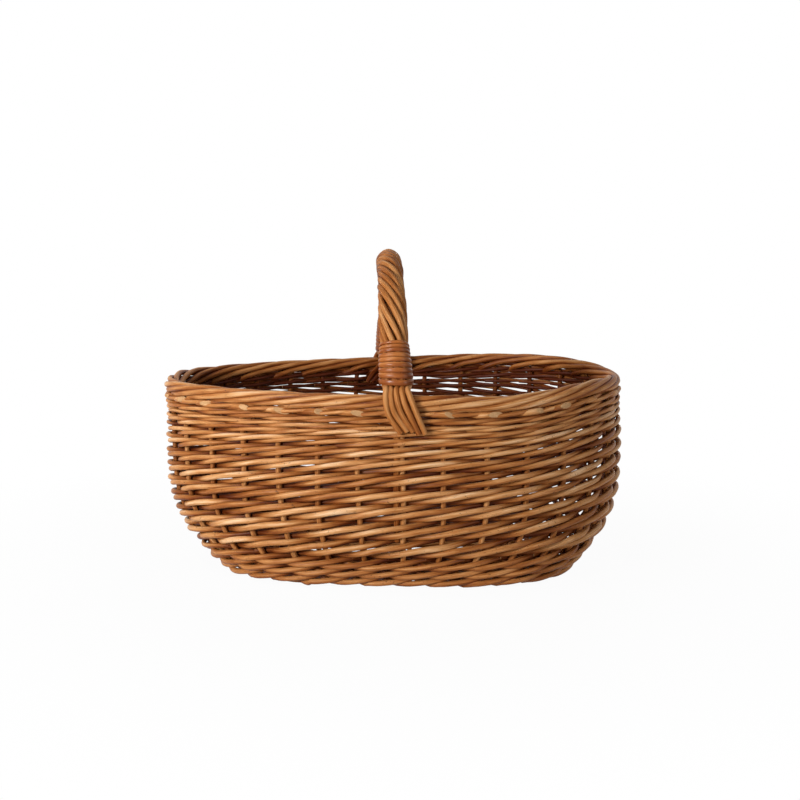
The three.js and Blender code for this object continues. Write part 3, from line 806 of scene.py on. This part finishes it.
def wale(name, turns, bottom, radius, row_pitch, tone):
    """Each row is level and steps up to the next at the back."""
    for strand in range(STRANDS):
        rods = Rods()
        steps = np.arange(-TUCK, turns * STAKES + TUCK, 1 / SAMPLES)
        turned = np.maximum((steps + strand) / STAKES, 0)
        climb = np.clip((turned % 1 - 1 + STEP_UP) / STEP_UP, 0, 1)
        levels = bottom + row_pitch * np.minimum(np.floor(turned) + climb, turns - 1)
        crossing = row_pitch * np.interp(turned, [LOWEST_ROW_END, 1.0], [LOWEST_ROW_CROSSING, ROW_CROSSING])
        waves = crossing * np.sin(stroke_turn(steps - STROKE / 2))
        levels += waves + WALE_WANDER * wander(steps, STRAND_WAVE)
        radii = radius * (1 + WALE_UNEVENNESS * wander(steps, THICKNESS_WAVE))
        sides = weave_side(steps)
        path, normal = woven_path(BACK_PLACE + strand + steps, levels, sides, radii)
        # The tone is painted darker behind the stakes, as shade
        fade = BEHIND_PAINTED_SHADE * (sides - 1)
        rods.add(path, radii, rod_tone(tone, WALE_TONE_SPREAD), hints=normal, fade=fade)
        strand_piece(name, strand, rods)


def base_strands(turns, bottom, radius, pitch):
    """The strands wind out from the crossing to the foot of the wall."""
    for strand in range(STRANDS):
        rods = Rods()
        steps = np.arange(-TUCK, round(turns * STAKES) + TUCK, 1 / SAMPLES)
        levels = bottom + STRANDS * pitch * steps / STAKES + BASE_WANDER * wander(steps, STRAND_WAVE)
        radii = radius * (1 + BASE_UNEVENNESS * wander(steps, THICKNESS_WAVE))
        path, _ = woven_path(strand * STAKES / STRANDS + steps, levels, weave_side(steps), radii)
        rods.add(path, radii, rod_tone(*BASE_TONE), hints=np.broadcast_to(-UP, path.shape))
        strand_piece("base", strand, rods)


base_strands(turns=6.6, bottom=-89.6, radius=1.9, pitch=4.3)
wale("upset", turns=3, bottom=2.6, radius=2.7, row_pitch=10.5, tone=0.63)
wale("top_band", turns=2, bottom=166.4, radius=1.95, row_pitch=6.8, tone=0.62)


# Handle: the bow, two bundles of rods roped round it, and the canes that bind its feet

ROPE_RADIUS = 7.51
BOW_RADIUS = 6.0
FOOT_OVER_ROPE = 5.8
FOOT_INSIDE_ROPE = 0.4
ARCH_FOOT = RIM_HEIGHT + ROPE_RADIUS + FOOT_OVER_ROPE
ARCH_HALF_SPAN = RIM_WIDTH / 2 - ROPE_RADIUS - BOW_RADIUS - FOOT_INSIDE_ROPE
ARCH_RISE = HANDLE_HEIGHT - ARCH_FOOT
ARCH_SAMPLES = 41
SHARE_STEP = 0.002
HANDLE_SPAN = 4

# How the arch leans, by shares of its way from the near foot to the far one
FOOT_X = -2.4
HANDLE_LEAN = 3.4
LEAN_START = 0.32
LEAN_END = 0.9
LEAN_END_LENGTH = 0.45
FAR_LEG_SHIFT = 2.0
FAR_LEG_START = 0.5
FAR_LEG_LENGTH = 0.3

BOW_TAIL_END = 50.0
BOW_TAIL_STEP = 12.0
BOW_TAIL_GAP = 20
BOW_TAIL_TAPER = 0.8
BOW_TONE = 0.38
BOW_SIDES = 14


def eased(share):
    """From nothing to one, gently at both ends."""
    return np.sin(math.pi / 2 * np.clip(share, 0, 1)) ** 2


def arch(share):
    """The middle line of the bow, from the near foot at share 0 to the far one at share 1."""
    share = np.asarray(share, float)
    angle = math.pi * share
    near = 1 - (1 - np.clip(share / LEAN_START, 0, 1)) ** 2
    far = eased((LEAN_END - share) / LEAN_END_LENGTH)
    beyond = eased((share - FAR_LEG_START) / FAR_LEG_LENGTH)
    x = FOOT_X - HANDLE_LEAN * near * far + FAR_LEG_SHIFT * beyond
    return np.stack([x, -ARCH_HALF_SPAN * np.cos(angle), ARCH_FOOT + ARCH_RISE * np.sin(angle)], axis=-1)


def arch_frames(share):
    """Unit vectors outward from the basket's middle and sideways, both square to the arch."""
    along = unit(arch(share + SHARE_STEP) - arch(share - SHARE_STEP))
    aside = np.broadcast_to(SIDEWAYS, along.shape)
    aside = unit(aside - np.sum(aside * along, axis=-1, keepdims=True) * along)
    return np.cross(aside, along), aside


def bow_end(stake):
    """The end of the bow that is pushed into the weave beside a stake, from its tip up."""
    alongs = np.arange(BOW_TAIL_END, WALL_LENGTH - BOW_TAIL_GAP, BOW_TAIL_STEP)
    places = np.full(alongs.shape, float(stake))
    across, _ = frames(places, alongs)
    return surface(places, alongs) + across * tail_side(stake) * PAIR_GAP


def handle_bow():
    rods = Rods()
    near = bow_end(0)
    far = bow_end(HALF)
    curve = arch(np.linspace(0, 1, ARCH_SAMPLES))
    points = np.concatenate([near, curve, far[::-1]])
    tail = np.linspace(STAKE_RADIUS, STAKE_RADIUS + BOW_TAIL_TAPER, len(near))
    radii = np.concatenate([tail, np.full(len(curve), BOW_RADIUS), tail[::-1]])
    rods.add(smooth_path(points, HANDLE_SPAN), spread_out(radii, HANDLE_SPAN), BOW_TONE, sides=BOW_SIDES)
    rods.piece("handle_bow_willow", "handle_bow", "handle_willow", handle_look)


# Stations of a fan: distance out from the middle of the border, height over it
OUTSIDE_FAN = [(3.6, 12.6), (8.6, 7.6), (10.8, 0.0), (10.8, -10.0), (10.2, -26.0)]
INSIDE_FAN = [(-24.5, 6.0), (-20.5, -3.0), (-14.5, -9.5), (-11.2, -19.0)]
# Tone steps of the fans: a slight one outside, and painted shade on the inside fans, which stand in the
# shade inside the wall
OUTSIDE_FAN_SHADE = -0.02
INSIDE_FAN_PAINTED_SHADE = -0.28
FAN_LEAN = 15.0
FAN_BEND = 1.8
FAN_BEND_CHANGE = 0.4
FAN_SPACING = 5.3
FAN_SPREAD = 0.4
FAN_DROP = 1.5
RIM_PITCH = np.linalg.norm(wall(1, WALL_LENGTH) - wall(0, WALL_LENGTH))


def beside_rim(stake, aside, outward, rise):
    """A point near the rim by a handle foot."""
    place = np.atleast_1d(stake + aside / RIM_PITCH)
    return (wall(place, WALL_LENGTH) + rim_outward(place) * outward + UP * rise)[0]


def fan(stake, is_outside, from_middle):
    """One rod's way over the border, down the outside or the inside of the wall by a handle foot."""
    facing = 1 if is_outside else -1
    handed = facing if stake == 0 else -facing
    across = handed * from_middle
    stations = OUTSIDE_FAN if is_outside else INSIDE_FAN
    top = stations[0][1]
    bottom = stations[-1][1]
    points = []
    for outward, rise in stations:
        fallen = (top - rise) / (top - bottom)
        bent = fallen ** (FAN_BEND - FAN_BEND_CHANGE * across)
        spacing = FAN_SPACING - FAN_SPREAD * (1 - fallen)
        aside = tail_side(stake) * PAIR_GAP + bent * FAN_LEAN + across * spacing
        drop = rng.uniform(-FAN_DROP, FAN_DROP) * fallen
        points.append(beside_rim(stake, aside, outward, rise + drop))
    return points


ROPING_TURNS = 2.5
ROPING_SLOWING = 0.26
ROPING_RODS = 5
ROPING_ROD_RADIUS = 2.9
ROPING_SAMPLES = 57
ROPING_THICKNESS = 0.93, 1.07
ROPING_TONE = 0.61, 0.08
ANGLE_WANDER = 0.10
ANGLE_WAVE = 0.4
RADIUS_WANDER = 0.3
RADIUS_WAVE = 0.3
ROPE_SLACK = 0.9
FOOT_SWELL = 1.6
FOOT_SWELL_REACH = 0.03
LEG_SWELL = 0.9
LEG_SWELL_PLACE = 0.18
LEG_SWELL_REACH = 0.09


def roping_share(share):
    """The twist is slow at the feet and quick over the top."""
    return share - ROPING_SLOWING / (2 * math.pi) * np.sin(2 * math.pi * share)


def rope_swell(share):
    """How far the roping stands off the bow: most at the feet, and more again above the bindings."""
    from_foot = np.minimum(share, 1 - share)
    at_foot = FOOT_SWELL * hump(from_foot, 0, FOOT_SWELL_REACH)
    return ROPE_SLACK + at_foot + LEG_SWELL * hump(from_foot, LEG_SWELL_PLACE, LEG_SWELL_REACH)


def ring_offsets(outward, aside, radius, angle):
    """Offsets from the arch, at an angle from outward towards the side."""
    return outward * (radius * np.cos(angle))[:, None] + aside * (radius * np.sin(angle))[:, None]


def roping_bundle(index):
    """Rods that fan out by both feet, one bundle outside the near foot and the other inside it."""
    rods = Rods()
    share = np.linspace(0, 1, ROPING_SAMPLES)
    outward, aside = arch_frames(share)
    twist = index * math.pi - 2 * math.pi * ROPING_TURNS * roping_share(share)
    # The inside fans carry painted shade
    fan_shades = [OUTSIDE_FAN_SHADE, INSIDE_FAN_PAINTED_SHADE]
    for rod in range(ROPING_RODS):
        from_middle = rod - (ROPING_RODS - 1) / 2
        angle = twist + from_middle * math.pi / ROPING_RODS
        angle += ANGLE_WANDER * wander(share, ANGLE_WAVE)
        radius = BOW_RADIUS + ROPING_ROD_RADIUS + rope_swell(share)
        radius += RADIUS_WANDER * wander(share, RADIUS_WAVE)
        roped = arch(share) + ring_offsets(outward, aside, radius, angle)
        near = fan(0, index == 0, from_middle)[::-1]
        far = fan(HALF, index != 0, from_middle)
        path = smooth_path(np.concatenate([near, roped, far]), HANDLE_SPAN)
        near_shades = np.full(len(near), fan_shades[index])
        far_shades = np.full(len(far), fan_shades[1 - index])
        shades = np.concatenate([near_shades, np.zeros(len(share)), far_shades])
        thick = ROPING_ROD_RADIUS * rng.uniform(*ROPING_THICKNESS)
        rods.add(path, thick, rod_tone(*ROPING_TONE), fade=spread_out(shades, HANDLE_SPAN))
    node = f"roping_bundle_{index + 1}"
    rods.piece(node + "_willow", node, "handle_willow", handle_look)


BINDING_TURNS = 9.0
BINDING_SAMPLES = 40
BINDING_BOTTOM = 1.6
BINDING_PITCH = 5.2
BINDING_TIGHTER = 0.128
BINDING_RADIUS = 15.6
BINDING_TAPER = 0.3
BINDING_COVER = 0.54
BINDING_FLATNESS = 0.3, 0.75
BINDING_TONE = 0.55
LEG_SAMPLES = 401

# How the cane wanders in height, width and tone; the waves are counted in turns
HEIGHT_WANDER = 0.15
HEIGHT_WAVE = 2.7
WIDTH_WANDER = 0.006
WIDTH_WAVE = 1.3
TONE_WANDER = 0.06
TONE_WAVE = 1.9

# The crease at the right of the outer side: angles, and shares of the radius
CREASE_ANGLE = math.pi - 0.5
CREASE_RISE = 0.085
CREASE_FALL = 0.03
CREASE_FALL_PLACE = 0.95
CREASE_REACH = 0.4


def creased(angle):
    """The cane stands out at the crease and lies in on both sides of it."""
    from_crease = (angle - CREASE_ANGLE + math.pi) % (2 * math.pi) - math.pi
    rise = CREASE_RISE * hump(from_crease, 0, CREASE_REACH)
    return 1 + rise - CREASE_FALL * hump(np.abs(from_crease), CREASE_FALL_PLACE, CREASE_REACH)


def foot_binding(index):
    """The cane goes up round the foot, flat below and rounder above, its turns closer towards the top."""
    rods = Rods()
    shares = np.linspace(0, 0.5, LEG_SAMPLES)
    walked = added_up(np.linalg.norm(np.diff(arch(shares), axis=0), axis=1))
    turns = np.arange(0, BINDING_TURNS, 1 / BINDING_SAMPLES)
    height = BINDING_BOTTOM + BINDING_PITCH * turns - BINDING_TIGHTER * turns ** 2
    height += HEIGHT_WANDER * wander(turns, HEIGHT_WAVE)
    share = np.interp(height, walked, shares)
    if index == 1:
        share = 1 - share
    outward, aside = arch_frames(share)
    angle = 2 * math.pi * turns
    uneven = creased(angle) + WIDTH_WANDER * wander(turns, WIDTH_WAVE)
    radius = (BINDING_RADIUS - BINDING_TAPER * turns) * uneven
    around = ring_offsets(-outward, aside, radius, angle)
    half_width = BINDING_COVER * (BINDING_PITCH - 2 * BINDING_TIGHTER * turns)
    flat = np.linspace(*BINDING_FLATNESS, len(turns))[:, None, None]
    fade = TONE_WANDER * wander(turns, TONE_WAVE)
    rods.add(arch(share) + around, half_width, BINDING_TONE, hints=unit(around), buds=False, flat=flat,
             fade=fade)
    node = f"foot_binding_{index + 1}"
    rods.piece(node + "_cane", node, "binding_willow", binding_look)


handle_bow()
for index in range(2):
    roping_bundle(index)
    foot_binding(index)


# Floor, world, lamps and camera

WHITE = 1, 1, 1, 1
FLOOR_GREY = 0.6, 0.6, 0.6, 1
FLOOR_HALF = 4.0
SHADOW_REACH = 0.25, 0.6
FLOOR_GLOW = 0.96, 1.0
WORLD_LIGHT = 0.06
LAMP_TARGET = 0, 0, 0.12

# The camera in millimetres, and its view in pixels of the photograph
CAMERA_PLACE = np.array([-43.3, -1284.2, 354.0])
CAMERA_TARGET = np.array([0.0, 0.0, 88.2])
PICTURE_WIDTH = 800
FOCAL_LENGTH = 1262.5
SHIFT_RIGHT = 5.75
SHIFT_UP = 71.2
SENSOR_WIDTH = 36


def backdrop_shader(tree, shown, lighting):
    """One shader to the camera, in reflections and through glass, another for all other light."""
    path = add_node(tree, "ShaderNodeLightPath")
    seen = math_node(tree, "MAXIMUM", path.outputs["Is Camera Ray"], path.outputs["Is Glossy Ray"])
    seen = math_node(tree, "MAXIMUM", seen, path.outputs["Is Transmission Ray"])
    choice = add_node(tree, "ShaderNodeMixShader", {0: seen, 1: lighting, 2: shown})
    return choice.outputs[0]


def make_floor():
    """A pale floor that glows white to the camera, with a little of the object's shadow near it."""
    half = FLOOR_HALF
    mesh = bpy.data.meshes.new("floor")
    corners = [(-half, -half, 0), (half, -half, 0), (half, half, 0), (-half, half, 0)]
    mesh.from_pydata(corners, [], [(0, 1, 2, 3)])
    floor = bpy.data.objects.new("floor", mesh)
    bpy.context.scene.collection.objects.link(floor)
    material = bpy.data.materials.new("pale_floor")
    material.use_nodes = True
    tree = material.node_tree
    tree.nodes.remove(tree.nodes["Principled BSDF"])
    matt = add_node(tree, "ShaderNodeBsdfDiffuse", {"Color": FLOOR_GREY}).outputs[0]
    glow = add_node(tree, "ShaderNodeEmission", {"Color": WHITE, "Strength": 1.0}).outputs[0]
    place = add_node(tree, "ShaderNodeTexCoord").outputs["Object"]
    distance = add_node(tree, "ShaderNodeVectorMath", {0: place}, operation="LENGTH").outputs["Value"]
    fade = map_range(tree, distance, SHADOW_REACH, FLOOR_GLOW)
    shown = add_node(tree, "ShaderNodeMixShader", {0: fade, 1: matt, 2: glow}).outputs[0]
    output = tree.nodes["Material Output"]
    tree.links.new(backdrop_shader(tree, shown, matt), output.inputs["Surface"])
    mesh.materials.append(material)


def make_world():
    """White to the camera, and a faint even light on the object."""
    world = bpy.data.worlds.new("studio")
    bpy.context.scene.world = world
    world.use_nodes = True
    tree = world.node_tree
    lighting = tree.nodes["Background"]
    lighting.inputs["Color"].default_value = WHITE
    lighting.inputs["Strength"].default_value = WORLD_LIGHT
    shown = add_node(tree, "ShaderNodeBackground", {"Color": WHITE, "Strength": 1.0}).outputs[0]
    output = tree.nodes["World Output"]
    tree.links.new(backdrop_shader(tree, shown, lighting.outputs[0]), output.inputs["Surface"])


def aimed(direction):
    """The rotation of a lamp or camera that looks in the direction."""
    return direction.to_track_quat("-Z", "Y").to_euler()


def add_lamp(name, place, power, size, is_mirrored=True):
    lamp = bpy.data.lights.new(name, "AREA")
    lamp.energy = power
    lamp.shape = "DISK"
    lamp.size = size
    obj = bpy.data.objects.new(name, lamp)
    obj.location = place
    obj.rotation_euler = aimed(Vector(LAMP_TARGET) - Vector(place))
    obj.visible_glossy = is_mirrored
    bpy.context.scene.collection.objects.link(obj)


def make_camera():
    """The camera that was fitted to the photograph."""
    place = (CAMERA_PLACE + SHIFT) * MM
    target = (CAMERA_TARGET + SHIFT) * MM
    camera = bpy.data.cameras.new("camera")
    camera.sensor_width = SENSOR_WIDTH
    camera.lens = FOCAL_LENGTH / PICTURE_WIDTH * SENSOR_WIDTH
    camera.shift_x = SHIFT_RIGHT / PICTURE_WIDTH
    camera.shift_y = SHIFT_UP / PICTURE_WIDTH
    obj = bpy.data.objects.new("camera", camera)
    obj.location = place
    obj.rotation_euler = aimed(Vector(target - place))
    bpy.context.scene.collection.objects.link(obj)
    bpy.context.scene.camera = obj


make_floor()
make_world()
add_lamp("key", (-1.05, -1.05, 0.42), power=22, size=0.4)
add_lamp("fill", (1.1, -1.1, 0.35), power=6, size=0.5)
add_lamp("top", (-0.75, -0.35, 1.4), power=7.5, size=0.5)
add_lamp("back", (0.5, 1.3, 0.55), power=11, size=0.6, is_mirrored=False)
make_camera()
bpy.context.scene.view_settings.view_transform = "Standard"
